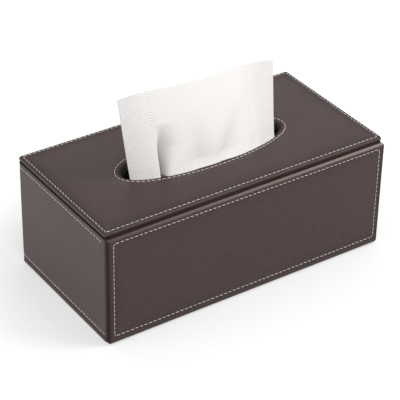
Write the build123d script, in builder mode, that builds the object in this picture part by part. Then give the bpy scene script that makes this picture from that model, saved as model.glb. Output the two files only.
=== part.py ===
from build123d import *

import os
from math import atan2, cos, exp, hypot, sin, sqrt

# Leatherette tissue box with a drawer behind its stitched front, in millimetres.
# X runs along the box, the drawer opens towards -Y and Z is up. The origin lies on the
# surface the box stands on, under the middle of the closed box.

# Overall sizes
box_length = 260.0  # over the leatherette on both ends
casing_depth = 130.0  # from the casing's front rim to its back
box_height = 100.0  # from the table to the top of the lid

# Sheet materials
board = 3.0  # fibreboard of the walls and the top
facing = 1.2  # leatherette on card, round the ends and the back
leather = 0.7  # leatherette of the padded panels and the bindings
felt = 0.6  # lining of the bay and the tray

# Base
base_felt_thickness = 0.6
base_felt_inset = 1.5  # the felt stops short of the base's edge
base_board_thickness = 3.6

# Padded panels: the lid and the drawer front
corner_radius = 2.0  # corners of the panels, and of the box seen from above
face_roll = 1.5  # leatherette rolling over a panel's face edges
back_edge = 0.5  # flattened edges of a panel's back
hem = 12.0  # leatherette turned on to a panel's back
lid_board_thickness = 1.4
lid_padding_thickness = 0.5
front_board_thickness = 1.7
front_padding_thickness = 0.6

# Shadow gaps
lid_groove = 1.1  # between the side wrap and the lid
wrap_edge = 0.4  # bevelled edges of the side wrap
front_head_gap = 0.7  # from the drawer front up to the height of the lid's underside
front_foot_gap = 1.0  # from the table up to the drawer front
lining_setback = 1.0  # from the front rim to the lining's front edge

# Oval slot
slot_length = 146.5
slot_width = 43.9
slot_middle_x = -2.0  # a little to the left of the box's middle
slot_middle_y = 0.0  # in the middle of the whole box, drawer front included
slot_roll = 4.5  # leatherette rolling down into the slot
slot_flat = 1.5  # flat rim outside the roll
slot_end_share = 1.25  # radii of the oval's end, shoulder and side arcs, as shares of an
slot_shoulder_share = 1.34  # ellipse's end radius, mean half width and side radius: with these
slot_side_share = 0.89  # the arcs keep within a fifth of a millimetre of the ellipse

# Drawer and its clearances
drawer_gap = 0.3  # between the drawer front and the casing's rim
side_gap = 0.5  # on each side of the tray
glide_gap = 0.3  # under the tray
rear_gap = 1.0  # behind the tray
tray_board = 3.0
tray_floor_thickness = 2.5
tray_wall_height = 37.5
tray_edge_radius = 1.2  # rounded top edges of the tray's walls

# Tissues
stack_length = 200.0
stack_room = 4.25  # from the stack to the tray, in front and behind
stack_height = 40.0
stack_edge_radius = 3.0  # folded tissues round off along the stack's edges
sheet_thickness = 0.8
sheet_gap = 0.4  # between the sheet and the stack
sheet_lip_gap = 1.2  # between the sheet and the slot's front lip
sheet_left_gap = 6.0  # from the slot's left end to the sheet's edge
sheet_right_gap = 10.5  # from the slot's right end to the sheet's edge
sheet_rise = 74.5  # from the lid to the sheet's top left corner
sheet_fall = 8.1  # drop of the top edge from left to right
sheet_flare = 16.2  # the left edge leans out by this much at the top
sheet_draw = 2.5  # the right edge leans in by this much at the top
sheet_lean = 10.4  # the middle of the sheet leans back by this much at the top
sheet_gather = 0.85  # the sheet is drawn together towards the stack
sheet_steps = 8  # points along a cut through the sheet
fold_share = 0.19  # place of the deep fold, as a share of the sheet's width
fold_depth = 6.0
fold_spread = 0.08  # half width of the fold in the slot, as a share of the sheet's width

# Places that follow from the sizes
lid_thickness = leather + lid_board_thickness + lid_padding_thickness + leather
front_thickness = leather + front_board_thickness + front_padding_thickness + leather
full_depth = front_thickness + drawer_gap + casing_depth

front_y = -full_depth / 2  # face of the drawer front
rim_y = front_y + front_thickness + drawer_gap  # the casing's front rim
back_y = full_depth / 2
casing_y = (rim_y + back_y) / 2

base_top = base_felt_thickness + base_board_thickness
lid_foot = box_height - lid_thickness
ceiling = lid_foot - board  # underside of the top board
slot_foot = ceiling - felt  # the rolled leatherette ends flush with the lining
wrap_top = lid_foot - lid_groove

carcass_x = box_length / 2 - facing  # outer faces of the end boards
bay_x = carcass_x - board  # inner faces of the end boards
carcass_front = rim_y + facing
carcass_back = back_y - facing
bay_back = carcass_back - board

tray_front = rim_y - drawer_gap  # the tray is glued to the back of the drawer front
tray_back = bay_back - felt - rear_gap
tray_x = bay_x - felt - side_gap
tray_foot = base_top + felt + glide_gap
tray_floor_top = tray_foot + tray_floor_thickness
tray_mid_y = (tray_front + tray_back) / 2
stack_depth = tray_back - tray_front - 2 * (tray_board + stack_room)

front_foot = front_foot_gap
front_top = lid_foot - front_head_gap
front_height = front_top - front_foot

lid_plane = Plane((0, casing_y, lid_foot))
front_plane = Plane(
    origin=(0, rim_y - drawer_gap, (front_foot + front_top) / 2), x_dir=(1, 0, 0), z_dir=(0, -1, 0)
)
slot_plane = Plane((slot_middle_x, slot_middle_y, slot_foot))
LEFT_AND_RIGHT = (("left", -1), ("right", 1))


def save(name, piece):
    """Label a finished piece and write it as its own file."""
    piece.part.label = name
    export_step(piece.part, f"parts/{name}.step")


def slab(low_x, high_x, low_y, high_y, low_z, high_z):
    """A flat board or lining between six planes."""
    with BuildPart() as sheet:
        with BuildSketch(Plane(((low_x + high_x) / 2, (low_y + high_y) / 2, low_z))):
            Rectangle(high_x - low_x, high_y - low_y)
        extrude(amount=high_z - low_z)
    return sheet


# ---- Padded panels -----------------------------------------------------------------------


def panel_block(where, length, width, thickness, inset):
    """A panel's plain block, shrunk by inset on every side."""
    with BuildPart() as block:
        with BuildSketch(where.offset(inset)):
            RectangleRounded(length - 2 * inset, width - 2 * inset, max(corner_radius - inset, 0.2))
        extrude(amount=thickness - 2 * inset)
    return block.part


def panel_filling(where, length, width, thickness):
    """What a panel's leatherette is stretched over; its face edges are cut to take the roll."""
    with BuildPart() as filling:
        add(panel_block(where, length, width, thickness, leather))
        face = filling.faces().sort_by(Axis(where.origin, where.z_dir))[-1]
        chamfer(face.edges(), length=(face_roll - leather) * (2 - sqrt(2)))
    return filling.part


def panel_cover(where, length, width, thickness):
    """Leatherette stretched over a panel, with its hem turned on to the back."""
    with BuildPart() as cover:
        add(panel_block(where, length, width, thickness, 0))
        outwards = Axis(where.origin, where.z_dir)
        chamfer(cover.faces().sort_by(outwards)[0].edges(), length=back_edge)
        fillet(cover.faces().sort_by(outwards)[-1].edges(), radius=min(face_roll, 0.95 * corner_radius))
        add(panel_filling(where, length, width, thickness), mode=Mode.SUBTRACT)
        with BuildSketch(where):
            Rectangle(length - 2 * hem, width - 2 * hem)
        extrude(amount=leather, mode=Mode.SUBTRACT)
    return cover.part


def panel_back(where, length, width):
    """The sheet that fills a panel's back inside the hem."""
    with BuildPart() as sheet:
        with BuildSketch(where):
            Rectangle(length - 2 * hem, width - 2 * hem)
        extrude(amount=leather)
    return sheet.part


def panel_layer(where, length, width, thickness, board_thickness, keep):
    """What lies inside the leatherette: its board (Keep.BOTTOM) or its foam (Keep.TOP)."""
    with BuildPart() as layer:
        add(panel_filling(where, length, width, thickness))
        split(bisect_by=where.offset(leather + board_thickness), keep=keep)
    return layer.part


# ---- Slot --------------------------------------------------------------------------------


slot_half = (slot_length / 2, slot_width / 2)
end_radius = slot_end_share * slot_half[1] ** 2 / slot_half[0]
shoulder_radius = slot_shoulder_share * sqrt(slot_half[0] * slot_half[1])
side_radius = slot_side_share * slot_half[0] ** 2 / slot_half[1]

# Middles of a quarter's arcs. The shoulder's lies where its arc touches the other two.
end_x = slot_half[0] - end_radius
side_y = slot_half[1] - side_radius
span = hypot(end_x, side_y)
to_end = shoulder_radius - end_radius
to_side = side_radius - shoulder_radius
along = (to_end**2 - to_side**2 + span**2) / (2 * span)
aside = sqrt(to_end**2 - along**2)
shoulder_x = end_x + (aside * side_y - along * end_x) / span
shoulder_y = (aside * end_x + along * side_y) / span
end_turn = atan2(-shoulder_y, end_x - shoulder_x)
side_turn = atan2(shoulder_y - side_y, shoulder_x)


def slot_oval(outset):
    """The slot's oval of eight arcs, grown by outset on every side."""
    near_end = (
        end_x + (end_radius + outset) * cos(end_turn),
        (end_radius + outset) * sin(end_turn),
    )
    near_side = (
        (side_radius + outset) * cos(side_turn),
        side_y + (side_radius + outset) * sin(side_turn),
    )
    half = [near_end, near_side, (-near_side[0], near_side[1]), (-near_end[0], near_end[1])]
    joints = half + [(-x, -y) for x, y in half]
    radii = (shoulder_radius, side_radius, shoulder_radius, end_radius) * 2
    with BuildSketch() as oval:
        with BuildLine():
            for start, finish, radius in zip(joints, joints[1:] + joints[:1], radii):
                RadiusArc(start, finish, -(radius + outset))
        make_face()
    return oval.sketch


def slot_ring(depth):
    """The slot's rim with its rolled mouth, measured depth below the leatherette's surface."""
    with BuildPart() as ring:
        with BuildSketch(slot_plane):
            add(slot_oval(slot_roll + slot_flat))
            add(slot_oval(depth), mode=Mode.SUBTRACT)
        extrude(amount=box_height - depth - slot_foot)
        mouth = ring.faces().sort_by(Axis.Z)[-1].inner_wires()[0]
        if depth == 0:
            fillet(mouth.edges(), radius=slot_roll)
        else:  # the roll's hidden side is cut flat
            chamfer(mouth.edges(), length=(slot_roll - depth) * (2 - sqrt(2)))
    return ring.part


def slot_void():
    """What the boards leave free for the slot and the leatherette rolled into it."""
    with BuildPart() as void:
        with BuildSketch(slot_plane):
            add(slot_oval(slot_roll + slot_flat))
        extrude(amount=box_height - slot_foot)
        add(slot_ring(leather), mode=Mode.SUBTRACT)
    return void.part


os.makedirs("parts", exist_ok=True)

# ---- Base: felt, board and the leatherette band round its edge ---------------------------

with BuildPart() as base_felt:
    with BuildSketch(Plane((0, casing_y, 0))):
        RectangleRounded(
            box_length - 2 * base_felt_inset, casing_depth - 2 * base_felt_inset, corner_radius
        )
    extrude(amount=base_felt_thickness)
save("base_felt", base_felt)

base_plane = Plane((0, casing_y, base_felt_thickness))
base_corner = max(corner_radius - leather, 0.2)

with BuildPart() as base_board:
    with BuildSketch(base_plane):
        RectangleRounded(box_length - 2 * leather, casing_depth - 2 * leather, base_corner)
    extrude(amount=base_board_thickness)
save("base_board", base_board)

with BuildPart() as base_binding:
    with BuildSketch(base_plane):
        RectangleRounded(box_length, casing_depth, corner_radius)
        RectangleRounded(
            box_length - 2 * leather, casing_depth - 2 * leather, base_corner, mode=Mode.SUBTRACT
        )
    extrude(amount=base_board_thickness)
    chamfer(base_binding.faces().sort_by(Axis.Z)[-1].outer_wire().edges(), length=wrap_edge)
save("base_binding", base_binding)

# ---- Carcass: end boards, back board and slotted top board -------------------------------

carcass_corner = max(corner_radius - facing, 0.2)

for side, sign in LEFT_AND_RIGHT:
    with BuildPart() as end_board:
        end_middle = Plane((sign * (carcass_x + bay_x) / 2, (carcass_front + carcass_back) / 2, base_top))
        with BuildSketch(end_middle):
            Rectangle(board, carcass_back - carcass_front)
        extrude(amount=lid_foot - base_top)
        by_x = end_board.edges().filter_by(Axis.Z).group_by(Axis.X)
        outer = by_x[-1] if sign > 0 else by_x[0]
        fillet(outer, radius=carcass_corner)
    save(f"{side}_end_board", end_board)

back_board = slab(-bay_x, bay_x, bay_back, carcass_back, base_top, lid_foot)
save("back_board", back_board)

with BuildPart() as top_board:
    add(slab(-bay_x, bay_x, rim_y + leather, bay_back, ceiling, lid_foot).part)
    add(slot_void(), mode=Mode.SUBTRACT)
save("top_board", top_board)

top_edge_binding = slab(-bay_x, bay_x, rim_y, rim_y + leather, slot_foot, lid_foot)
save("top_edge_binding", top_edge_binding)

# ---- Side wrap: round the left end, the back and the right end, turned in at the rim -----

with BuildPart() as side_wrap:
    with BuildSketch(Plane((0, casing_y, base_top))):
        RectangleRounded(box_length, casing_depth, corner_radius)
        RectangleRounded(
            2 * carcass_x, carcass_back - carcass_front, carcass_corner, mode=Mode.SUBTRACT
        )
        with Locations((0, rim_y + facing / 2 - casing_y)):
            Rectangle(2 * bay_x, facing, mode=Mode.SUBTRACT)
    extrude(amount=wrap_top - base_top)
    for height in (0, -1):
        outline = side_wrap.faces().sort_by(Axis.Z)[height].edges()
        outside = [e for e in outline if abs(e.center().X) > carcass_x or e.center().Y > carcass_back]
        chamfer(outside, length=wrap_edge)
save("side_wrap", side_wrap)

# ---- Lid: card, board, foam and the leatherette rolled over its edges and into the slot ---

with BuildPart() as lid_backing:
    add(panel_back(lid_plane, box_length, casing_depth))
    add(slot_void(), mode=Mode.SUBTRACT)
save("lid_backing", lid_backing)

with BuildPart() as lid_board:
    add(panel_layer(lid_plane, box_length, casing_depth, lid_thickness, lid_board_thickness, Keep.BOTTOM))
    add(slot_void(), mode=Mode.SUBTRACT)
save("lid_board", lid_board)

with BuildPart() as lid_padding:
    add(panel_layer(lid_plane, box_length, casing_depth, lid_thickness, lid_board_thickness, Keep.TOP))
    add(slot_void(), mode=Mode.SUBTRACT)
save("lid_padding", lid_padding)

with BuildPart() as lid_cover:
    add(panel_cover(lid_plane, box_length, casing_depth, lid_thickness))
    with BuildSketch(slot_plane.offset(lid_foot - slot_foot)):
        add(slot_oval(slot_roll + slot_flat))
    extrude(amount=lid_thickness, mode=Mode.SUBTRACT)
    add(slot_ring(0))
    add(slot_ring(leather), mode=Mode.SUBTRACT)
save("lid_cover", lid_cover)

# ---- Lining of the drawer bay ------------------------------------------------------------

lining_front = rim_y + lining_setback
lining_foot = base_top + felt

floor_lining = slab(-bay_x, bay_x, lining_front, bay_back, base_top, lining_foot)
save("floor_lining", floor_lining)

for side, sign in LEFT_AND_RIGHT:
    low_x, high_x = sorted((sign * bay_x, sign * (bay_x - felt)))
    side_lining = slab(low_x, high_x, lining_front, bay_back, lining_foot, slot_foot)
    save(f"{side}_lining", side_lining)

back_lining = slab(felt - bay_x, bay_x - felt, bay_back - felt, bay_back, lining_foot, slot_foot)
save("back_lining", back_lining)

with BuildPart() as top_lining:
    add(slab(-bay_x, bay_x, rim_y + leather, bay_back, slot_foot, ceiling).part)
    add(slot_void(), mode=Mode.SUBTRACT)
save("top_lining", top_lining)

# ---- Drawer tray -------------------------------------------------------------------------

tray_top = tray_floor_top + tray_wall_height


def tray_wall(low_x, high_x, low_y, high_y):
    """A wall that stands on the tray's floor, with rounded top edges along its length."""
    along = Axis.X if high_x - low_x > high_y - low_y else Axis.Y
    with BuildPart() as wall:
        add(slab(low_x, high_x, low_y, high_y, tray_floor_top, tray_top).part)
        fillet(wall.faces().sort_by(Axis.Z)[-1].edges().filter_by(along), radius=tray_edge_radius)
    return wall


drawer_floor = slab(-tray_x, tray_x, tray_front, tray_back, tray_foot, tray_floor_top)
save("drawer_floor", drawer_floor)

drawer_inner_front = tray_wall(-tray_x, tray_x, tray_front, tray_front + tray_board)
save("drawer_inner_front", drawer_inner_front)

drawer_back = tray_wall(-tray_x, tray_x, tray_back - tray_board, tray_back)
save("drawer_back", drawer_back)

for side, sign in LEFT_AND_RIGHT:
    low_x, high_x = sorted((sign * tray_x, sign * (tray_x - tray_board)))
    drawer_side = tray_wall(low_x, high_x, tray_front + tray_board, tray_back - tray_board)
    save(f"drawer_{side}_side", drawer_side)

drawer_floor_lining = slab(
    tray_board - tray_x,
    tray_x - tray_board,
    tray_front + tray_board,
    tray_back - tray_board,
    tray_floor_top,
    tray_floor_top + felt,
)
save("drawer_floor_lining", drawer_floor_lining)

# ---- Drawer front ------------------------------------------------------------------------

with BuildPart() as front_board:
    add(
        panel_layer(
            front_plane, box_length, front_height, front_thickness, front_board_thickness, Keep.BOTTOM
        )
    )
save("front_board", front_board)

with BuildPart() as front_padding:
    add(
        panel_layer(
            front_plane, box_length, front_height, front_thickness, front_board_thickness, Keep.TOP
        )
    )
save("front_padding", front_padding)

with BuildPart() as front_cover:
    add(panel_cover(front_plane, box_length, front_height, front_thickness))
save("front_cover", front_cover)

with BuildPart() as front_lining:
    add(panel_back(front_plane, box_length, front_height))
save("front_lining", front_lining)

# ---- Tissue stack ------------------------------------------------------------------------

stack_foot = tray_floor_top + felt
stack_top = stack_foot + stack_height

with BuildPart() as tissue_stack:
    with BuildSketch(Plane((0, tray_mid_y, stack_foot))):
        Rectangle(stack_length, stack_depth)
    extrude(amount=stack_height)
    folded = tissue_stack.edges().filter_by(Axis.X)
    fillet(folded, radius=stack_edge_radius)
save("tissue_stack", tissue_stack)

# ---- Tissue sheet: up from the stack, along the slot's front lip and out in a fan ---------


def slot_lip(x):
    """Front edge of the slot at x, on the ellipse that its arcs follow."""
    return slot_middle_y - slot_half[1] * sqrt(1 - ((x - slot_middle_x) / slot_half[0]) ** 2)


slot_ends = (
    slot_middle_x - slot_half[0] + sheet_left_gap,
    slot_middle_x + slot_half[0] - sheet_right_gap,
)
ends_y = [slot_lip(x) + sheet_lip_gap for x in slot_ends]
middle_y = slot_lip(slot_middle_x) + sheet_lip_gap


def sheet_section(height, ends, lean, fold, spread):
    """Cut through the sheet: bowed forwards in the middle, with one fold pushed back."""
    front = []
    for step in range(sheet_steps + 1):
        share = step / sheet_steps
        bow = 4 * share * (1 - share) * (middle_y + lean - sum(ends_y) / 2)
        dent = fold * exp(-(((share - fold_share) / spread) ** 2))
        y = ends_y[0] + share * (ends_y[1] - ends_y[0]) + bow + dent
        front.append((ends[0] + share * (ends[1] - ends[0]), y))
    back = [(x, y + sheet_thickness) for x, y in reversed(front)]
    with BuildSketch(Plane.XY.offset(height)) as section:
        with BuildLine():
            Spline(*front)
            Line(front[-1], back[0])
            Spline(*back)
            Line(back[-1], front[0])
        make_face()
    return section.sketch


stack_ends = [sheet_gather * x for x in slot_ends]
top_ends = (slot_ends[0] - sheet_flare, slot_ends[1] - sheet_draw)
halfway_ends = [(slot_x + top_x) / 2 for slot_x, top_x in zip(slot_ends, top_ends)]
top_edge = box_height + sheet_rise
halfway = box_height + sheet_rise / 2

# Height, left and right end, lean of the middle, depth and half width of the fold
sheet_cuts = (
    (stack_top + sheet_gap, stack_ends, sheet_lean / 2, fold_depth, fold_spread),
    (slot_foot, slot_ends, 0, fold_depth, fold_spread),
    (box_height, slot_ends, 0, fold_depth, fold_spread),
    (halfway, halfway_ends, sheet_lean / 2, 0.6 * fold_depth, 1.2 * fold_spread),
    (top_edge, top_ends, sheet_lean, 0.3 * fold_depth, 1.4 * fold_spread),
)

with BuildPart() as tissue_sheet:
    for cut in sheet_cuts:
        add(sheet_section(*cut))
    loft(ruled=True)
    split(
        bisect_by=Plane(
            origin=(top_ends[0], 0, top_edge), z_dir=(sheet_fall, 0, top_ends[1] - top_ends[0])
        ),
        keep=Keep.BOTTOM,
    )
save("tissue_sheet", tissue_sheet)
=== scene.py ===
"""Leatherette tissue box with a drawer: the looks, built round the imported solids, in metres."""

import math

import bmesh
import bpy
import numpy as np
from mathutils import Matrix, Vector, noise


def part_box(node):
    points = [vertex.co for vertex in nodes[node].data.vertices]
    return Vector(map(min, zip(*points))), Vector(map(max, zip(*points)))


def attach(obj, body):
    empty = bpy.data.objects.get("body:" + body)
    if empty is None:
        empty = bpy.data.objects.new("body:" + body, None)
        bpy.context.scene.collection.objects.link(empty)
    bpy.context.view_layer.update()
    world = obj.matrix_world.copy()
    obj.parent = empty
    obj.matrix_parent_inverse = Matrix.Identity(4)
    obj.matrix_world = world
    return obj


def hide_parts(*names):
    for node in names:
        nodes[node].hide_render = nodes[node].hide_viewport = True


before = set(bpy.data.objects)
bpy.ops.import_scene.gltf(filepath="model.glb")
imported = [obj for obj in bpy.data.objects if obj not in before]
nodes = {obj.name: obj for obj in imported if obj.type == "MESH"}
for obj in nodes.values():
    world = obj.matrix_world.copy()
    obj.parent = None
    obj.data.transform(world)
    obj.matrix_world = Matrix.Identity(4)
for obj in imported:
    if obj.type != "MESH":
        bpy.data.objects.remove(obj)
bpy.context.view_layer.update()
MM = 0.001

# ---- Linings --------------------------------------------------------------------------------
# Thin black felt glued to the underside, to the walls of the bay, to the tray's floor and to
# the back of the drawer front. The solids are right as they are and only get their nap.


class Wire:
    """A shader value that sums can be written with; node() puts any other node behind it."""

    def __init__(self, tree, socket=None):
        self.tree = tree
        self.socket = socket

    def node(self, kind, settings=(), inputs=(), out=0):
        made = self.tree.nodes.new("ShaderNode" + kind)
        for name, value in dict(settings).items():
            if name == "stops":
                for place, (stop_at, shade) in enumerate(value):
                    stops = made.color_ramp.elements
                    stop = stops[place] if place < len(stops) else stops.new(stop_at)
                    stop.position = stop_at
                    stop.color = (*shade, 1) if hasattr(shade, "__len__") else (shade,) * 3 + (1,)
            else:
                setattr(made, name, value)
        for name, value in dict(inputs).items():
            if isinstance(value, Wire):
                self.tree.links.new(value.socket, made.inputs[name])
            else:
                made.inputs[name].default_value = value
        return Wire(self.tree, made.outputs[out])

    def math(self, operation, *values):
        return self.node("Math", {"operation": operation}, enumerate(values))

    def __add__(self, other):
        return self.math("ADD", self, other)

    __radd__ = __add__

    def __sub__(self, other):
        return self.math("SUBTRACT", self, other)

    def __rsub__(self, other):
        return self.math("SUBTRACT", other, self)

    def __mul__(self, other):
        return self.math("MULTIPLY", self, other)

    __rmul__ = __mul__

    def blend(self, low, high):
        """Colour between two colours, with this value as the share of the second."""
        low, high = (c if isinstance(c, Wire) else (*c, 1) for c in (low, high))
        return self.node("Mix", {"data_type": "RGBA"}, {0: self, 6: low, 7: high}, out=2)

    def bump(self, depth, under=None):
        """Relief of this height, in metres, on the surface or on a relief under it."""
        inputs = {"Height": self, "Distance": depth, "Strength": 1.0}
        if under is not None:
            inputs["Normal"] = under
        return self.node("Bump", (), inputs)


def finish(name, **constants):
    """A new material: its shader, and a wire with the place on the piece."""
    made = bpy.data.materials.new(name)
    made.use_nodes = True
    shader = made.node_tree.nodes["Principled BSDF"]
    for socket, value in constants.items():
        shader.inputs[socket.replace("_", " ")].default_value = value
    place = Wire(made.node_tree).node("TexCoord", out="Object")
    return made, shader, place


def feed(shader, **wires):
    """Links wires to the shader's inputs."""
    for socket, wire in wires.items():
        wire.tree.links.new(wire.socket, shader.inputs[socket.replace("_", " ")])


def grain(place, scale, detail=2.0, roughness=0.5):
    """Cloudy noise, with scale in cells per metre."""
    inputs = {"Vector": place, "Scale": scale, "Detail": detail, "Roughness": roughness}
    return place.node("TexNoise", (), inputs)


def coat(material, *names):
    """Gives solids that keep their shape a material."""
    for name in names:
        nodes[name].data.materials.clear()
        nodes[name].data.materials.append(material)


felt, shader, place = finish("black_felt", Sheen_Weight=0.25, Sheen_Roughness=0.5)
nap = grain(place, 2600, 3.0, 0.7)
feed(
    shader,
    Base_Color=grain(place, 300).blend((0.006, 0.006, 0.0065), (0.016, 0.015, 0.016)),
    Roughness=0.85 + 0.12 * nap,
    Normal=nap.bump(0.25 * MM),
)
coat(felt, "base_felt", "floor_lining", "left_lining", "right_lining", "back_lining")
coat(felt, "top_lining", "front_lining", "drawer_floor_lining")

# ---- Boards ---------------------------------------------------------------------------------
# Fibreboard of the base, the ends, the back and the slotted top. It shows only in the groove
# under the lid, where its edge is coloured black as painted shade for the groove.

fibreboard, shader, place = finish("fibreboard")
height = place.node("SeparateXYZ", (), {"Vector": place}, out="Z")
groove_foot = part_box("side_wrap")[1].z - 2 * MM
# Painted shade: black above the groove's foot, where the board shows in the groove
groove_shade = height.math("GREATER_THAN", height, groove_foot)
fibres = grain(place, 900, 4.0, 0.65)
bare = fibres.blend((0.20, 0.12, 0.06), (0.34, 0.22, 0.12))
feed(
    shader,
    Base_Color=groove_shade.blend(bare, (0.012, 0.01, 0.01)),
    Roughness=0.7 + 0.2 * fibres,
    Normal=fibres.bump(0.12 * MM),
)
coat(fibreboard, "base_board", "left_end_board", "right_end_board", "back_board", "top_board")
coat(fibreboard, "lid_board", "front_board")

# ---- Leatherette ----------------------------------------------------------------------------
# Dark brown coated fabric with a fine pebbled grain, satin. Shade is painted into it along seams
# and in gaps, and a pale highlight on some rolled edges. It covers the panels and the sides, and
# binds the base and the top's front edge.


def leatherette(name, pebble, depth, gloss):
    """Leatherette with pebbles of one size and depth, in metres. The point attribute it reads is -1
    where shade is painted in, along seams and in gaps, and 1 where a pale highlight is painted in."""
    made, shader, place = finish(name, Specular_IOR_Level=gloss, Specular_Tint=(1.0, 0.9, 0.87, 1))
    sway = {"Vector": place, "Scale": 350.0, "Detail": 2.0}
    drift = place.node("TexNoise", (), sway, out="Color")
    mixed = place.node("Mix", {"data_type": "VECTOR"}, {0: 0.0012, 4: place, 5: drift}, out=1)
    pebbles = {"Vector": mixed, "Scale": 1 / pebble, "Smoothness": 0.55}
    cells = place.node("TexVoronoi", {"feature": "SMOOTH_F1"}, pebbles)
    fine = grain(place, 3.1 / pebble, 2.0)
    broad = grain(place, 28.0, 3.0)
    painted_light = place.node("Attribute", {"attribute_name": "painted_light"}, out="Fac")
    # Negative values paint shade, down to near black; positive ones paint a pale highlight
    painted_shade, pale_highlight = painted_light.math("MAXIMUM", -1 * painted_light, 0), painted_light.math("MAXIMUM", painted_light, 0)
    valleys = cells.node("ValToRGB", {"stops": ((0.1, 1.0), (0.75, 0.0))}, {"Fac": cells})
    mottled = (0.4 * broad + 0.6 * valleys).blend((0.034, 0.0195, 0.0185), (0.062, 0.0385, 0.0365))
    highlighted_colour = (0.5 * pale_highlight).blend(mottled, (0.25, 0.19, 0.18))
    feed(
        shader,
        Base_Color=painted_shade.blend(highlighted_colour, (0.006, 0.004, 0.004)),
        Roughness=0.40 + 0.10 * fine + 0.10 * broad - 0.07 * valleys + 0.4 * painted_shade,
        Normal=fine.bump(0.25 * depth, cells.bump(-depth)),
    )
    return made


smooth_leather = leatherette("leatherette_smooth", 0.85 * MM, 0.05 * MM, 0.42)
front_leather = leatherette("leatherette_grained", 1.3 * MM, 0.28 * MM, 0.32)
coat(smooth_leather, "top_edge_binding")

# ---- Base band ------------------------------------------------------------------------------
# Leatherette glued round the edge of the base board: its upper edge is rounded, and meets the
# foot of the side wrap in a seam, where shade is painted on the band's top.

LEATHER = 0.7 * MM
CORNER = 2.0 * MM  # of the base and the panels, seen from their faces
PER_CORNER = 8


def rectangle(half_x, half_y, inset, per_x, per_y):
    """Points round a rectangle with rounded corners, inset from its outline."""
    half_x, half_y = half_x - inset, half_y - inset
    radius = max(CORNER - inset, 0.7 * MM)
    points = []
    sides = ((half_x, half_y, per_y), (half_y, half_x, per_x)) * 2
    for quarter, (run, cross, count) in enumerate(sides):
        turn = math.pi / 2 * quarter
        for i in range(count):
            points.append((run, (cross - radius) * (2 * i / count - 1), turn))
        for i in range(PER_CORNER):
            angle = math.pi / 2 * i / PER_CORNER
            ahead = run - radius + radius * math.cos(angle)
            aside = cross - radius + radius * math.sin(angle)
            points.append((ahead, aside, turn))
    x, y, turn = np.array(points).T
    cos, sin = np.cos(turn), np.sin(turn)
    return np.column_stack([x * cos - y * sin, x * sin + y * cos])


def lay(line, middle, height):
    """A line's points, moved back to its middle and lifted to one height or a height each."""
    return np.column_stack([line[:, 0], line[:, 1] + middle, np.broadcast_to(height, len(line))])


def piece(name, points, faces, material, body):
    """A smooth mesh piece that rides a body."""
    mesh = bpy.data.meshes.new(name)
    mesh.from_pydata([tuple(map(float, p)) for p in points], [], faces)
    work = bmesh.new()
    work.from_mesh(mesh)
    bmesh.ops.recalc_face_normals(work, faces=work.faces)
    work.to_mesh(mesh)
    work.free()
    mesh.shade_smooth()
    mesh.materials.append(material)
    made = bpy.data.objects.new(name, mesh)
    bpy.context.scene.collection.objects.link(made)
    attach(made, body)
    return made


def quads(rows, columns, round_rows=False, round_columns=False):
    """Faces of points that lie in rows and columns."""
    made = []
    for row in range(rows if round_rows else rows - 1):
        low, high = row * columns, (row + 1) % rows * columns
        for column in range(columns if round_columns else columns - 1):
            after = (column + 1) % columns
            made.append((low + column, low + after, high + after, high + column))
    return made


def mark_painted_light(made, painted_light):
    """Stores the painted shade and highlight of each point of a leatherette piece."""
    made.data.attributes.new("painted_light", "FLOAT", "POINT").data.foreach_set("value", np.float32(painted_light))


base_low, base_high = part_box("base_binding")
base_x, base_y = base_high.x, (base_high.y - base_low.y) / 2
base_middle = (base_high.y + base_low.y) / 2
base_per_x, base_per_y = 130, 66
base_roll = 1.3 * MM  # rounding of the band's upper edge
band_height = base_high.z - base_low.z
band = [(LEATHER, 0.0), (0.3 * MM, 0.05 * MM), (0.08 * MM, 0.25 * MM), (0.0, 0.6 * MM)]
band += [(0.0, band_height * share) for share in (0.3, 0.45)]
band += [
    (LEATHER * (1 - math.cos(a)), band_height - base_roll * (1 - math.sin(a)))
    for a in np.linspace(0, math.pi / 2, 7)
]
rows = []
for inset, level in band:
    line = rectangle(base_x, base_y, inset, base_per_x, base_per_y)
    rows.append(lay(line, base_middle, base_low.z + level))
faces = quads(len(rows), len(line), round_rows=True, round_columns=True)
base_band = piece("base_band", np.concatenate(rows), faces, smooth_leather, "casing")
# Painted shade on the top 15 % of the band, in the seam under the side wrap
band_painted_shade = [-0.9 * max(0.0, (level / band_height - 0.85) / 0.15) for _, level in band]
mark_painted_light(base_band, np.repeat(band_painted_shade, len(line)))
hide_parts("base_binding")

# ---- Side wrap ------------------------------------------------------------------------------
# One strip of leatherette on card, drawn round the left end, the back and the right end and
# turned in at the front rim. It is sewn 4.6 mm under its top edge and 3.5 mm over its foot.

PITCH = 4.1 * MM  # from stitch to stitch, in every seam


def dip(across, along, depth=0.32 * MM):
    """How far a seam draws the leatherette in, deepest at the needle holes."""
    tight = 0.72 + 0.28 * np.cos(2 * math.pi * along / PITCH)
    near, wide = across / (0.8 * MM), across / (2.6 * MM)
    return -depth * (np.exp(-(near**2)) * tight + 0.25 * np.exp(-(wide**2)))


wrap_low, wrap_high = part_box("side_wrap")
wrap_corner = 2.0 * MM
wrap_depth = 1.2 * MM
turn_in = 4.2 * MM
wrap_edge = 0.5 * MM
upper_seam = wrap_high.z - 4.6 * MM
lower_seam = wrap_low.z + 3.5 * MM

# Plan of the outer face, from the left rim round the back to the right rim
half_length, front_rim, back_face = wrap_high.x, wrap_low.y, wrap_high.y
left_turns = [(-half_length + turn_in, front_rim), (-half_length, front_rim)]
left_turns.append((-half_length, back_face))
turns = left_turns + [(-x, y) for x, y in reversed(left_turns)]


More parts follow.
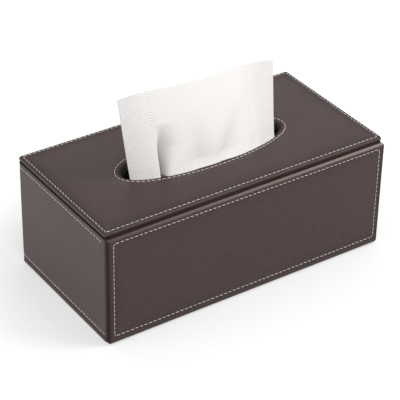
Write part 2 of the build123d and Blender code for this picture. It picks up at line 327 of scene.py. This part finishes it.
def rounded_line(corners, radius, step):
    """Points and outward normals along a line with rounded corners, for a line that turns right."""
    corners = [Vector(c) for c in corners]
    points, normals = [], []
    for place, corner in enumerate(corners):
        if place in (0, len(corners) - 1):
            continue
        before = (corner - corners[place - 1]).normalized()
        after = (corners[place + 1] - corner).normalized()
        start = corner - before * radius if points or place == 1 else corner
        first = corners[0] if place == 1 else Vector(points[-1])
        run = (start - first).length
        count = max(1, round(run / step))
        for i in range(0 if place == 1 else 1, count):
            points.append(tuple(first.lerp(start, i / count)))
            normals.append((-before.y, before.x))
        middle = start + Vector((before.y, -before.x)) * radius
        for i in range(9):
            angle = math.pi / 2 * i / 8
            out = Vector((-before.y, before.x)) * math.cos(angle) + before * math.sin(angle)
            points.append(tuple(middle + out * radius))
            normals.append(tuple(out))
        if place == len(corners) - 2:
            count = max(1, round(((corners[-1] - corner).length - radius) / step))
            first = Vector(points[-1])
            for i in range(1, count + 1):
                points.append(tuple(first.lerp(corners[-1], i / count)))
                normals.append((-after.y, after.x))
    return np.array(points), np.array(normals)


plan, plan_out = rounded_line(turns, wrap_corner, 0.9 * MM)
along = np.concatenate([[0], np.cumsum(np.linalg.norm(np.diff(plan, axis=0), axis=1))])

close = np.array([-3.2, -2.2, -1.5, -1.0, -0.6, -0.3, 0, 0.3, 0.6, 1.0, 1.5, 2.2, 3.2]) * MM
levels = [wrap_low.z + wrap_edge + 0.1 * MM]
levels += list(lower_seam + close[close > levels[0] - lower_seam])
levels += list(np.linspace(levels[-1], upper_seam + close[0], 14)[1:-1])
levels += list(upper_seam + close)
levels.append(wrap_high.z - wrap_edge)
section = [(-wrap_depth, wrap_low.z)]
section += [
    (wrap_edge * (math.sin(a) - 1), wrap_low.z + wrap_edge * (1 - math.cos(a)))
    for a in np.linspace(0, math.pi / 2, 5)
]
section += [(0.0, level) for level in levels]
section += [
    (wrap_edge * (math.cos(a) - 1), wrap_high.z - wrap_edge * (1 - math.sin(a)))
    for a in np.linspace(0, math.pi / 2, 5)[1:]
]
section += [(-wrap_depth, wrap_high.z)]

upper_from, lower_from = turn_in + 4.0 * MM, turn_in + 1.2 * MM
rows = []
for out, level in section:
    sunk = np.zeros(len(along))
    if out > -0.5 * wrap_edge:
        for seam_height, start in ((upper_seam, upper_from), (lower_seam, lower_from)):
            inside = (along > start - PITCH / 2) & (along < along[-1] - start + PITCH / 2)
            sunk += inside * dip(level - seam_height, along - start)
    rows.append(lay(plan + plan_out * (out + sunk)[:, None], 0, level))
points = np.concatenate(rows)
faces = quads(len(rows), len(along), round_rows=True)
ends = [[row * len(along) + end for row in range(len(rows))] for end in (0, len(along) - 1)]
side_leather = piece("side_leather", points, faces + ends, smooth_leather, "casing")
edge_gaps = [min(z - wrap_low.z, wrap_high.z - z) for _, z in section]
# Painted shade, darkest at the wrap's top and foot, in the grooves under the lid and over the base
# band
edge_painted_shade = [-1.2 * max(0.0, 1 - gap / (1.0 * MM)) for gap in edge_gaps]
mark_painted_light(side_leather, np.repeat(edge_painted_shade, len(along)))
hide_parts("side_wrap")

# ---- Side stitching -------------------------------------------------------------------------
# Off-white waxed thread in two rows. A stitch comes up out of its hole, lies on the
# leatherette for about 3 mm and goes down again, a little aslant.

thread, shader, place = finish("waxed_thread", Sheen_Weight=0.2, Sheen_Roughness=0.4)
strands = {"Vector": place, "Scale": 360.0, "Distortion": 1.5}
twist = place.node("TexWave", {"bands_direction": "DIAGONAL"}, strands, out="Fac")
fuzz = grain(place, 1500.0)
feed(
    shader,
    Base_Color=(0.5 * twist + 0.5 * fuzz).blend((0.50, 0.445, 0.42), (0.80, 0.76, 0.73)),
    Roughness=0.55 + 0.25 * fuzz,
    Normal=twist.bump(0.06 * MM),
)

THREAD = 0.24 * MM  # half the thread's thickness
RINGS, SIDES = 9, 8


def sew(name, holes, out, body, closed=False):
    """The stitches between the holes of a seam, as one piece."""
    holes = np.array(holes, float)
    out = np.broadcast_to(np.array(out, float), holes.shape)
    points, faces = [], []
    tube = quads(RINGS, SIDES, round_columns=True)
    for here in range(len(holes) if closed else len(holes) - 1):
        there = (here + 1) % len(holes)
        run = holes[there] - holes[here]
        length = np.linalg.norm(run)
        ahead, up = run / length, out[here] + out[there]
        up -= ahead * (up @ ahead)
        up /= np.linalg.norm(up)
        side = np.cross(ahead, up)
        reach = min(0.37 * length, 1.55 * MM)
        for ring in range(RINGS):
            share = 2 * ring / (RINGS - 1) - 1
            middle = (holes[here] + holes[there]) / 2 + ahead * reach * share
            middle = middle + up * (0.08 - 0.62 * abs(share) ** 5) * MM + side * 0.13 * MM * share
            thick = THREAD * (1 - 0.35 * share**6)
            for turn in range(SIDES):
                angle = 2 * math.pi * turn / SIDES
                points.append(middle + thick * (math.cos(angle) * side + math.sin(angle) * up))
        first, last = here * RINGS * SIDES, (here * RINGS + RINGS - 1) * SIDES
        faces += [tuple(first + i for i in face) for face in tube]
        faces += [tuple(end + i for i in range(SIDES)) for end in (first, last)]
    return piece(name, points, faces, thread, body)


for name, seam_height, start in (
    ("side_upper_stitching", upper_seam, upper_from),
    ("side_lower_stitching", lower_seam, lower_from),
):
    count = int((along[-1] - 2 * start) / PITCH)
    spots = start + PITCH * np.arange(count + 1)
    holes = np.column_stack([np.interp(spots, along, plan[:, i]) for i in (0, 1)])
    out = np.column_stack([np.interp(spots, along, plan_out[:, i]) for i in (0, 1)])
    sew(name, lay(holes, 0, seam_height), lay(out, 0, 0), "casing")

# ---- Lid ------------------------------------------------------------------------------------
# A padded panel: leatherette over thin foam and board, hemmed underneath, sewn 2.7 mm inside
# its edge and round the oval slot, and rolled down through the slot to the lining.

card, shader, place = finish("grey_card")
flecks = grain(place, 1200.0, 4.0, 0.7)
feed(
    shader,
    Base_Color=flecks.blend((0.16, 0.14, 0.12), (0.27, 0.24, 0.21)),
    Roughness=0.8 + 0.15 * flecks,
    Normal=flecks.bump(0.05 * MM),
)
foam, shader, place = finish("sheet_foam")
pores = place.node("TexVoronoi", (), {"Vector": place, "Scale": 1800.0})
feed(
    shader,
    Base_Color=pores.blend((0.42, 0.40, 0.36), (0.70, 0.68, 0.62)),
    Roughness=0.8 + 0.15 * pores,
    Normal=pores.bump(0.15 * MM),
)
coat(card, "lid_backing")
coat(foam, "lid_padding", "front_padding")

PANEL_ROLL = 1.5 * MM
HEM = 12.0 * MM


def roll(start, radius, steps, inwards=1):
    """Insets and heights round a rolled edge, from its side up to its face."""
    return [
        (start + inwards * radius * (1 - math.cos(a)), radius * (math.sin(a) - 1))
        for a in np.linspace(0, math.pi / 2, steps)
    ]


lid_low, lid_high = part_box("lid_cover")
lid_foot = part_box("lid_board")[0].z - LEATHER
lid_top = lid_high.z
lid_middle = (lid_low.y + lid_high.y) / 2
half_x, half_y = lid_high.x, (lid_high.y - lid_low.y) / 2
hole_x, hole_y = 73.25 * MM, 21.95 * MM
slot_x, slot_y = -2.0 * MM, 0.0  # the slot's middle, halfway between the box's front and back
slot_roll = 4.5 * MM
lid_seam = 2.7 * MM  # from the lid's edge
slot_seam = 5.6 * MM  # from the hole
PER_STITCH = 4
along_x, along_y = 61, 31  # stitches on a long and on a short side
per_x, per_y = along_x * PER_STITCH, along_y * PER_STITCH
puff = 0.75 * MM


def oval(outset, turns):
    """Points beside the slot's oval."""
    x, y = slot_x + hole_x * np.cos(turns), slot_y - lid_middle + hole_y * np.sin(turns)
    out = np.column_stack([np.cos(turns) / hole_x, np.sin(turns) / hole_y])
    out /= np.linalg.norm(out, axis=1)[:, None]
    return np.column_stack([x, y]) + out * outset


def square_seam(seam_x, seam_y, cut, counts):
    """Holes of a seam with straight runs, one hole in each corner or one at each end of its cut."""
    corners = []
    for x, y, first_x in ((1, -1, False), (1, 1, True), (-1, 1, False), (-1, -1, True)):
        pair = [(x * (seam_x - cut), y * seam_y), (x * seam_x, y * (seam_y - cut))]
        corners.append(pair[::-1] if first_x else pair)
    holes = []
    for place, count in enumerate(counts):
        start, end = np.array(corners[place][1]), np.array(corners[(place + 1) % 4][0])
        holes += [start + (end - start) * i / count for i in range(count + (cut > 0))]
    return np.array(holes)


def hole_gap(line, holes):
    """Distance from each point of a seam's line to the nearest hole."""
    return np.linalg.norm(line[:, None] - holes[None], axis=2).min(axis=1)


def rising(gap, reach):
    """From 0 at a seam to 1 well away from it."""
    return 1 - np.exp(-np.maximum(gap, 0) / reach)


def unevenness(line, scale, seed):
    """Soft hills and hollows, from -1 to 1, that foam and glue leave in a panel."""
    return np.array([noise.noise(Vector((x * scale, y * scale, seed))) for x, y in line])


class Loops:
    """Closed lines of points that a panel's leatherette runs through, each with height and painted
    light.
    """

    def __init__(self):
        self.lines, self.heights, self.painted_lights = [], [], []

    def add(self, line, height, painted_light=0.0):
        self.lines.append(line)
        self.heights.append(np.broadcast_to(height, len(line)))
        self.painted_lights.append(np.broadcast_to(painted_light, len(line)))


def lid_line(inset):
    return rectangle(half_x, half_y, inset, per_x, per_y)


def lid_swell(line, slot_gap):
    """Height of the foam between the lid's two seams."""
    gap_x = half_x - lid_seam - np.abs(line[:, 0])
    gap_y = half_y - lid_seam - np.abs(line[:, 1])
    full = rising(gap_x, 8 * MM) * rising(gap_y, 8 * MM) * rising(slot_gap, 6 * MM)
    return full * (puff + 0.12 * MM * unevenness(line, 22, 3.0))


rim = lid_line(10 * MM)
turns = np.unwrap(np.arctan2(rim[:, 1] / rim[:, 1].max(), rim[:, 0] / rim[:, 0].max()))
edge_line, slot_line = lid_line(lid_seam), oval(slot_seam, turns)
edge_holes = square_seam(half_x - lid_seam, half_y - lid_seam, 0, (along_y, along_x) * 2)
ring = np.concatenate([slot_line, slot_line[:1]])
ring_run = np.concatenate([[0], np.cumsum(np.linalg.norm(np.diff(ring, axis=0), axis=1))])
slot_count = round(ring_run[-1] / PITCH)
spots = ring_run[-1] * np.arange(slot_count) / slot_count
slot_holes = np.column_stack([np.interp(spots, ring_run, ring[:, i]) for i in (0, 1)])
edge_gap, slot_gap = hole_gap(edge_line, edge_holes), hole_gap(slot_line, slot_holes)

lid = Loops()
# Painted shade, black, on the hem and the rounded foot of the lid, in the groove under its edge
lid.add(lid_line(HEM), lid_foot, -1.0)
lid.add(lid_line(1.3 * MM), lid_foot, -1.0)
lid.add(lid_line(0.6 * MM), lid_foot + 0.2 * MM, -1.0)
lid.add(lid_line(0.2 * MM), lid_foot + 0.6 * MM, -0.9)
lid.add(lid_line(0.0), lid_foot + 1.2 * MM, 0.1)
# Painted shade on the top of the edge's roll and the margin, fading over about 5 mm inside the seam
for inset, height in roll(0, PANEL_ROLL, 7):
    lid.add(lid_line(inset), lid_top + height, -0.45 * inset / PANEL_ROLL)
for across in (-1.0, -0.6, -0.3, 0, 0.3, 0.6, 1.0, 1.5, 2.2, 3.2, 4.6):
    line = lid_line(lid_seam + across * MM)
    height = lid_top + dip(across * MM, edge_gap) + lid_swell(line, 30 * MM)
    lid.add(line, height, -0.45 * math.exp(-max(across, 0) / 5))
inner, outer = lid_line(lid_seam + 7 * MM), oval(slot_seam + 3.2 * MM, turns)
for share in np.linspace(0, 1, 12):
    line = inner + (outer - inner) * share
    from_edge = np.minimum(half_x - np.abs(line[:, 0]), half_y - np.abs(line[:, 1])) - lid_seam
    swell = lid_swell(line, np.linalg.norm(line - outer, axis=1) + 3.2 * MM)
    lid.add(line, lid_top + swell, -0.45 * np.exp(-from_edge / (5 * MM)))
for across in (2.2, 1.5, 1.0, 0.6, 0.3, 0, -0.3, -0.6, -0.9):
    line = oval(slot_seam + across * MM, turns)
    lid.add(line, lid_top + dip(across * MM, slot_gap) + lid_swell(line, across * MM))
# Painted shade darkens the roll down into the slot, to black at the hole's wall
for inset, height in reversed(roll(0, slot_roll, 11)):
    lid.add(oval(inset, turns), lid_top + height, 0.9 * inset / slot_roll - 1.0)
lid.add(oval(0, turns), lid_low.z, -1.0)
lid.add(oval(LEATHER, turns), lid_low.z)
for inset, height in roll(LEATHER, slot_roll - LEATHER, 5):
    lid.add(oval(inset, turns), lid_top - LEATHER + height)
lid.add(lid_line(PANEL_ROLL), lid_top - LEATHER)
lid.add(lid_line(LEATHER), lid_top - PANEL_ROLL)
lid.add(lid_line(LEATHER), lid_foot + LEATHER)
lid.add(lid_line(HEM), lid_foot + LEATHER)

lid_leather = piece(
    "lid_leather",
    np.concatenate([lay(line, lid_middle, z) for line, z in zip(lid.lines, lid.heights)]),
    quads(len(lid.lines), len(edge_line), round_rows=True, round_columns=True),
    smooth_leather,
    "casing",
)
mark_painted_light(lid_leather, np.concatenate(lid.painted_lights))
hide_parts("lid_cover")

# ---- Lid stitching --------------------------------------------------------------------------
# One seam runs round the lid with a hole in each corner, the other round the slot.

for name, holes in (("lid_edge_stitching", edge_holes), ("slot_stitching", slot_holes)):
    sew(name, lay(holes, lid_middle, lid_top), (0, 0, 1), "casing", closed=True)

# ---- Drawer tray ----------------------------------------------------------------------------
# Fibreboard tray covered with black paper, glued to the back of the drawer front. It is open at
# the top and as deep as a low pack of tissues.

black_paper, shader, place = finish("black_paper")
pulp = grain(place, 700.0, 4.0, 0.6)
feed(
    shader,
    Base_Color=pulp.blend((0.010, 0.0095, 0.0095), (0.022, 0.021, 0.021)),
    Roughness=0.5 + 0.2 * pulp,
    Normal=pulp.bump(0.05 * MM),
)
coat(black_paper, "drawer_floor", "drawer_left_side", "drawer_right_side")
coat(black_paper, "drawer_back", "drawer_inner_front")

# ---- Drawer front ---------------------------------------------------------------------------
# The same kind of panel, stood up and glued to the tray, with a coarser grain. Its seam runs
# about 5 mm inside the edge and cuts each corner with one short stitch.

front_low, front_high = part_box("front_cover")
front_face = front_high.y - front_low.y
front_middle = (front_low.z + front_high.z) / 2
face_x, face_z = front_high.x, (front_high.z - front_low.z) / 2
seam_x, seam_z = face_x - 5.1 * MM, 42.3 * MM  # half the seam's length and height
seam_rise = 1.4 * MM  # the seam's middle over the panel's
seam_cut = 1.4 * MM
front_x_stitches, front_z_stitches = 60, 20
front_per_x, front_per_z = front_x_stitches * PER_STITCH, front_z_stitches * PER_STITCH
front_puff = 0.6 * MM


def front_line(inset):
    return rectangle(face_x, face_z, inset, front_per_x, front_per_z)


def seam_line(inset):
    return rectangle(seam_x, seam_z, inset, front_per_x, front_per_z) + [0, seam_rise]


def front_swell(line):
    """Height of the foam inside the drawer front's seam."""
    gap_x = seam_x - np.abs(line[:, 0])
    gap_z = seam_z - np.abs(line[:, 1] - seam_rise)
    full = rising(gap_x, 9 * MM) * rising(gap_z, 9 * MM)
    return full * (front_puff + 0.12 * MM * unevenness(line, 25, 8.0))


front_counts = (front_z_stitches, front_x_stitches) * 2
front_holes = square_seam(seam_x, seam_z, seam_cut, front_counts) + [0, seam_rise]
front_gap = hole_gap(seam_line(0), front_holes)
flank = np.abs(front_line(0)[:, 0]) > face_x - 0.5 * MM  # the left and right edges
crown = front_line(0)[:, 1] > face_z - 0.5 * MM  # the top edge, which gets a painted highlight
# Painted highlight along the top roll, brighter to the right, and a faint pale tint on the other
# edges
pale_highlight = np.where(crown, 1.1 + 0.9 * front_line(0)[:, 0] / face_x, 0.1)
front = Loops()
front.add(front_line(PANEL_ROLL), front_face - LEATHER)
front.add(front_line(LEATHER), front_face - PANEL_ROLL)
front.add(front_line(LEATHER), LEATHER)
front.add(front_line(HEM), LEATHER)
front.add(front_line(HEM), 0)
# Painted shade, black, on the hem behind the panel's edge and up its left and right rolls, in the
# gaps beside it
front.add(front_line(1.3 * MM), 0, -1.0)
front.add(front_line(0.8 * MM), 0.1 * MM, -1.0)
front.add(front_line(0.4 * MM), 0.4 * MM, -1.0)
front.add(front_line(0.1 * MM), 0.9 * MM, -1.0)
front.add(front_line(0), 1.3 * MM, np.where(flank, -1.0, pale_highlight))
for inset, height in roll(0, PANEL_ROLL, 7):
    share = inset / PANEL_ROLL
    painted_light = np.where(flank, -1.0 + 0.5 * share, pale_highlight * (1 - share))
    front.add(front_line(inset), front_face + height, painted_light)
# Slight painted shade along the seam, fading over about 4 mm to each side
for across in (-1.6, -1.0, -0.6, -0.3, 0, 0.3, 0.6, 1.0, 1.6, 2.4, 3.4, 5.0, 7.0, 9.5):
    line = seam_line(across * MM)
    height = front_face + dip(across * MM, front_gap) + front_swell(line)
    front.add(line, height, -0.2 * math.exp(-abs(across) / 4))
around = len(front_gap)
faces = quads(len(front.lines), around, round_columns=True)
faces.append(tuple(range(around)))


def net(line, per_x, per_y):
    """Points inside a loop of rectangle(), and the faces that join them to it."""
    start = np.roll(np.arange(len(line)), PER_CORNER // 2)
    rows, columns = per_y + PER_CORNER, per_x + PER_CORNER
    right, top = start[: rows + 1], start[rows : rows + columns + 1]
    left = start[rows + columns : 2 * rows + columns + 1][::-1]
    foot = np.append(start[2 * rows + columns :], start[0])[::-1]
    up = np.linspace(0, 1, rows + 1)[:, None, None]
    over = np.linspace(0, 1, columns + 1)[None, :, None]
    inside = (1 - over) * line[right][:, None] + over * line[left][:, None]
    inside = inside + (1 - up) * line[foot][None] + up * line[top][None]
    inside -= (1 - up) * ((1 - over) * line[right[0]] + over * line[left[0]])
    inside -= up * ((1 - over) * line[right[-1]] + over * line[left[-1]])
    ids = np.zeros((rows + 1, columns + 1), int)
    ids[:, 0], ids[:, -1], ids[0], ids[-1] = right, left, foot, top
    ids[1:-1, 1:-1] = np.arange(ids[1:-1, 1:-1].size).reshape(rows - 1, columns - 1) + len(line)
    corners = (ids[:-1, :-1], ids[:-1, 1:], ids[1:, 1:], ids[1:, :-1])
    return inside[1:-1, 1:-1].reshape(-1, 2), np.stack(corners, axis=-1).reshape(-1, 4)


inside, net_faces = net(front.lines[-1] - [0, seam_rise], front_per_x, front_per_z)
net_faces += (len(front.lines) - 1) * around
faces += [tuple(map(int, face)) for face in net_faces]
inside += [0, seam_rise]
front.add(inside, front_face + front_swell(inside))

drawer_leather = piece(
    "drawer_leather",
    np.concatenate(
        [
            np.column_stack([line[:, 0], front_high.y - depth, line[:, 1] + front_middle])
            for line, depth in zip(front.lines, front.heights)
        ]
    ),
    faces,
    front_leather,
    "drawer",
)
mark_painted_light(drawer_leather, np.concatenate(front.painted_lights))
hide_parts("front_cover")

places = np.column_stack(
    [front_holes[:, 0], np.full(len(front_holes), front_low.y), front_holes[:, 1] + front_middle]
)
sew("drawer_stitching", places, (0, -1, 0), "drawer", closed=True)

# ---- Tissue pack ----------------------------------------------------------------------------
# A flat pack of interfolded two-ply tissues: soft folds one over the other at the front and the
# back, cut edges at the two ends, and the top tissue's folded half on top.

stack_low, stack_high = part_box("tissue_stack")
stack_x = stack_high.x
stack_y = (stack_high.y - stack_low.y) / 2
stack_middle = (stack_high.y + stack_low.y) / 2
stack_height = stack_high.z - stack_low.z
folds = 32
stack_per_x, stack_per_y = 96, 52
tissue_colours = ((0.74, 0.718, 0.70), (0.84, 0.825, 0.81))

paper, shader, place = finish("folded_tissue", Sheen_Weight=0.15, Sheen_Roughness=0.6)
pulp = grain(place, 900.0, 4.0, 0.6)
feed(
    shader,
    Base_Color=pulp.blend(*tissue_colours),
    Roughness=0.85 + 0.1 * pulp,
    Normal=pulp.bump(0.12 * MM),
)

stack = Loops()
base_line = rectangle(stack_x, stack_y, 0, stack_per_x, stack_per_y)
side = np.where(np.abs(base_line[:, 1]) > stack_y - 1.5 * MM, 1.0, 0.0)  # the folded sides
for fold in range(folds):
    for part, bulge in ((0.06, -0.55), (0.3, -0.08), (0.5, 0.0), (0.7, -0.08), (0.94, -0.55)):
        share = (fold + part) / folds
        level = stack_height * share
        edge = 3.0 * MM - min(level, stack_height - level, 3.0 * MM)
        rounding = 3.0 * MM - math.sqrt((3.0 * MM) ** 2 - edge**2)
        loose = unevenness(base_line, 18, fold * 7.7)
        inset = (0.5 - bulge * side + 0.45 * loose) * MM + rounding * (0.25 + 0.75 * side)
        out = np.clip(base_line / [stack_x, stack_y], -1, 1) ** 15
        sag = 0.25 * MM * unevenness(base_line, 12, fold * 3.1)
        stack.add(base_line - out * inset[:, None], level + sag * (0.15 < share < 0.98))
stack_points = [lay(line, 0, height) for line, height in zip(stack.lines, stack.heights)]
around = len(base_line)
inside, net_faces = net(stack.lines[-1], stack_per_x, stack_per_y)
ripple = np.array([noise.noise(Vector((x * 14, y * 40, 5.0))) for x, y in inside])
overlap = 1 / (1 + np.exp(-(inside[:, 1] + 6 * MM + 1.5 * MM * ripple) / (0.25 * MM)))
top = stack_height * (folds - 0.06) / folds + (0.25 * overlap - 0.35 + 0.18 * ripple) * MM
stack_points.append(np.column_stack([inside, top]))
beyond = (len(stack.lines) - 1) * around
faces = quads(len(stack.lines), around, round_columns=True)
faces += [tuple(int(i) + beyond for i in face) for face in net_faces]
faces.append(tuple(range(around)))
points = np.concatenate(stack_points) + np.array([0, stack_middle, stack_low.z])
pack = piece("tissue_pack", points, faces, paper, "drawer")
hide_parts("tissue_stack")

# ---- Tissue ---------------------------------------------------------------------------------
# One two-ply tissue, cut 190 x 200 mm, drawn 135 mm out of the pack. It lies over the slot's
# rolled front lip, is pinched there into a deep fold and two soft ones, and fans out above.

sheet_low, sheet_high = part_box("tissue_sheet")
lip_foot = lid_top - slot_roll
lip_radius = slot_roll + 0.3 * MM  # the sheet's way round the lip
lie = np.radians(82)  # how far it lies on the lip
corner_drop = 8.4 * MM  # the top edge falls from left to right
u = np.sort(np.concatenate([np.linspace(0, 1, 231), np.linspace(0.155, 0.215, 56)]))[None, :]
below = np.concatenate([np.linspace(1, 0, 25), np.zeros(134)])[:, None]
bend = np.concatenate([np.zeros(24), np.linspace(0, lie, 16), np.full(119, lie)])[:, None]
above = np.concatenate([np.zeros(39), np.linspace(0, 1, 120)])[:, None]

mouth_x = (-71.9 + 126.5 * u) * MM
mouth_y = slot_y - hole_y * np.sqrt(1 - ((mouth_x - slot_x) / hole_x) ** 2)
out_x, out_y = (mouth_x - slot_x) / hole_x**2, (mouth_y - slot_y) / hole_y**2
outset = (slot_roll - lip_radius * np.cos(bend)) / np.hypot(out_x, out_y)
lip_z = lip_foot + lip_radius * np.sin(bend) - below * (lip_foot - sheet_low.z)
top_x = (-84.7 + 143.1 * u) * MM
bay = np.exp(-(((u - 0.8) / 0.15) ** 2))  # the top edge sways back at its right
bulge = np.exp(-(((u - 0.38) / 0.16) ** 2))  # and forward left of its middle
top_y = (-8.0 + 3.5 * bay - 1.5 * bulge) * MM
top_z = sheet_high.z - corner_drop * u - 1.5 * MM * np.exp(-u / 0.05)
lean = above**0.9
x = (mouth_x + out_x * outset) * (1 - 0.16 * below) * (1 - above) + top_x * above
y = (mouth_y + out_y * outset + 9 * MM * below) * (1 - lean) + top_y * lean
z = lip_z + (top_z - lip_z) * above


def pleat(place, edge, width, depth):
    """A fold that steps back at a place across the sheet and comes forward again to the right."""
    beyond = (u - place) * 137 * MM
    step = 1 / (1 + np.exp(-np.clip(beyond / edge, -40, 40)))
    return depth * step * np.exp(-((np.maximum(beyond, 0) / width) ** 1.7))


shut = np.clip(1 - above / 0.6, 0, 1)
shut = shut * shut * (3 - 2 * shut)
tight = (0.25 + 4.0 * above**2) * MM
deep_place = 0.162 + 0.07 * above
deep_width = (2.8 + np.minimum(22 * above, 7)) * MM
y = y + pleat(deep_place, tight, deep_width, 11.0 * MM * shut**0.6)
# Shade is painted into the deep fold, darkest at its foot, and more faintly into the two soft ones
shade_width = (5.2 + np.minimum(8 * above, 3)) * MM
shade = pleat(deep_place, tight, shade_width, (1.3 - 1.35 * above) * shut**0.5)
soft = (0.3 + 0.7 * np.clip(above / 0.1, 0, 1)) * np.clip(1 - above / 0.75, 0, 1) ** 1.5
soft_folds = (0.40 + 0.02 * above, 4.5, 13.0, 5.0), (0.56 + 0.28 * above, 3.6, 11.0, 5.8)
for fold_place, edge, width, depth in soft_folds:
    y = y + pleat(fold_place, edge * MM, width * MM, depth * MM * soft)
    shade = shade + pleat(fold_place, edge * MM, 0.8 * width * MM, 0.4 * soft)
crumple = np.array(
    [noise.noise(Vector((a * 26, b * 17, 1.5))) for a, b in zip(x.ravel(), z.ravel())]
).reshape(z.shape)
y = y + 0.8 * MM * crumple * np.clip(above * 4, 0, 1)
edge_wave = np.array([noise.noise(Vector((a * 60, 9.0, 0.5))) for a in u.ravel()])[None, :]
z = z + 0.2 * MM * edge_wave * above**12
levels, columns = z.shape
points = np.column_stack([x.ravel(), y.ravel(), z.ravel()])
rise = np.linalg.norm(np.diff(points.reshape(levels, columns, 3)[:, columns // 2], axis=0), axis=1)
v = (np.concatenate([[0], np.cumsum(rise)]) / rise.sum())[:, None]

embossed, shader, place = finish("embossed_tissue", Sheen_Weight=0.15, Sheen_Roughness=0.6)
flat_place = place.node("UVMap", {"uv_map": "flat"})
across = flat_place.node("SeparateXYZ", (), {"Vector": flat_place}, out="X")
upwards = flat_place.node("SeparateXYZ", (), {"Vector": flat_place}, out="Y")
from_edge = across.math("MINIMUM", across, 1 - across)
# Two bands of ticks run up beside each cut edge, 18 and 13.5 % of the width from it, with a
# hatch outside them
first = from_edge.math("LESS_THAN", from_edge.math("ABSOLUTE", from_edge - 0.18), 0.015)
second = from_edge.math("LESS_THAN", from_edge.math("ABSOLUTE", from_edge - 0.135), 0.009)
outside = from_edge.math("LESS_THAN", from_edge, 0.118)
patchy = grain(place, 90.0, 2.0)
ticks_drawn = 135 / 2.3  # one tick in 2.3 mm of the 135 mm
ticks = upwards.math("SINE", upwards * (2 * math.pi * ticks_drawn) + 6.0 * patchy)
hatch = upwards.math("SINE", 400.0 * upwards + 420.0 * from_edge + 9.0 * patchy)
crepe = grain(place, 1400.0, 3.0, 0.6)
# The painted fold shade, read from the points, darkens the tissue towards grey
fold_shade = place.node("Attribute", {"attribute_name": "shade"}, out="Fac")
relief = 1.3 * (first + second) * ticks * patchy + 1.4 * outside * hatch * patchy
relief = relief + 0.5 * crepe
feed(
    shader,
    Base_Color=fold_shade.blend(crepe.blend(*tissue_colours), (0.33, 0.31, 0.30)),
    Roughness=0.85 + 0.1 * crepe,
    Normal=relief.bump(0.16 * MM),
)
tissue = piece("tissue", points, quads(levels, columns), embossed, "tissue")
fold_shade_per_point = np.clip(np.broadcast_to(shade, z.shape), 0, 1).ravel()
tissue.data.attributes.new("shade", "FLOAT", "POINT").data.foreach_set("value", np.float32(fold_shade_per_point))
flat_map = tissue.data.uv_layers.new(name="flat")
corner_points = np.zeros(len(tissue.data.loops), int)
tissue.data.loops.foreach_get("vertex_index", corner_points)
flat_uv = np.stack(np.broadcast_arrays(u, v), axis=-1).reshape(-1, 2)[corner_points]
flat_map.data.foreach_set("uv", np.float32(flat_uv).ravel())
plies = tissue.modifiers.new("plies", "SOLIDIFY")
plies.thickness = 0.3 * MM
plies.offset = 0
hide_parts("tissue_sheet")

# ---- Table and studio -----------------------------------------------------------------------
# White table that glows to white away from the box for the camera and in reflections, an evenly
# pale room, four softboxes, and the camera at the photograph's place.

table, shader, place = finish(
    "white_table", Specular_IOR_Level=0.1, Roughness=0.7, Emission_Strength=1.0
)
rays = place.node("LightPath", out="Is Camera Ray")
for kind in ("Is Glossy Ray", "Is Transmission Ray"):
    rays = rays.math("MAXIMUM", rays, place.node("LightPath", out=kind))
# The glow is weaker near the box, within 0.26 m of its middle, which paints shade round it
away = place.node("VectorMath", {"operation": "LENGTH"}, {0: place}, out="Value")
spread = {"Value": away, "From Min": 0.15, "From Max": 0.26, "To Min": 0.42, "To Max": 0.6}
glow = place.node("MapRange", (), spread)
feed(
    shader,
    Base_Color=grain(place, 3.0).blend((0.51, 0.51, 0.51), (0.53, 0.53, 0.53)),
    Emission_Color=rays.blend((0, 0, 0), glow),
)

reach = 6.0  # half the table's length, in metres
table_corners = [(x * reach, y * reach, 0) for x, y in ((-1, -1), (1, -1), (1, 1), (-1, 1))]
floor_mesh = bpy.data.meshes.new("table_top")
floor_mesh.from_pydata(table_corners, [], [(0, 1, 2, 3)])
floor_mesh.materials.append(table)
floor = bpy.data.objects.new("table_top", floor_mesh)
bpy.context.scene.collection.objects.link(floor)

world = bpy.data.worlds.new("studio")
bpy.context.scene.world = world
world.use_nodes = True
tree = world.node_tree
light = tree.nodes["Background"]
light.inputs["Color"].default_value = (1, 1, 1, 1)
light.inputs["Strength"].default_value = 0.72


def lamp(name, place, target, size, watts):
    """A softbox at a place, turned to a target."""
    data = bpy.data.lights.new(name, "AREA")
    data.shape = "SQUARE"
    data.size = size
    data.energy = watts
    made = bpy.data.objects.new(name, data)
    made.location = place
    made.visible_camera = False
    made.rotation_euler = (Vector(target) - Vector(place)).to_track_quat("-Z", "Y").to_euler()
    bpy.context.scene.collection.objects.link(made)


box_middle = (0, 0, 0.08)
lamp("front_softbox", (-0.6, -1.5, 1.0), box_middle, 1.0, 9.5)
lamp("right_softbox", (0.52, -0.42, 0.88), box_middle, 0.4, 5.0)
lamp("left_softbox", (-1.3, 0.3, 0.7), box_middle, 0.8, 3.9)
lamp("back_softbox", (0.8, 1.1, 1.0), box_middle, 1.0, 0.9)

eye = Vector((-0.6584, -0.9524, 0.8047))
azimuth, fall, tilt = 0.6029, 0.5774, 0.0196  # to the right of +Y, below level, and clockwise
level = Vector((math.sin(azimuth), math.cos(azimuth), 0))
look = level * math.cos(fall) - Vector((0, 0, math.sin(fall)))
right = look.cross(Vector((0, 0, 1))).normalized()
upright = right.cross(look)
right, upright = (
    right * math.cos(tilt) + upright * math.sin(tilt),
    upright * math.cos(tilt) - right * math.sin(tilt),
)
camera_data = bpy.data.cameras.new("camera")
camera_data.sensor_width = 36.0
camera_data.lens = 154.2
camera_data.clip_start, camera_data.clip_end = 0.05, 50.0
camera = bpy.data.objects.new("camera", camera_data)
bpy.context.scene.collection.objects.link(camera)
camera.matrix_world = Matrix((right, upright, -look)).transposed().to_4x4()
camera.location = eye
bpy.context.scene.camera = camera
bpy.context.scene.view_settings.view_transform = "Standard"

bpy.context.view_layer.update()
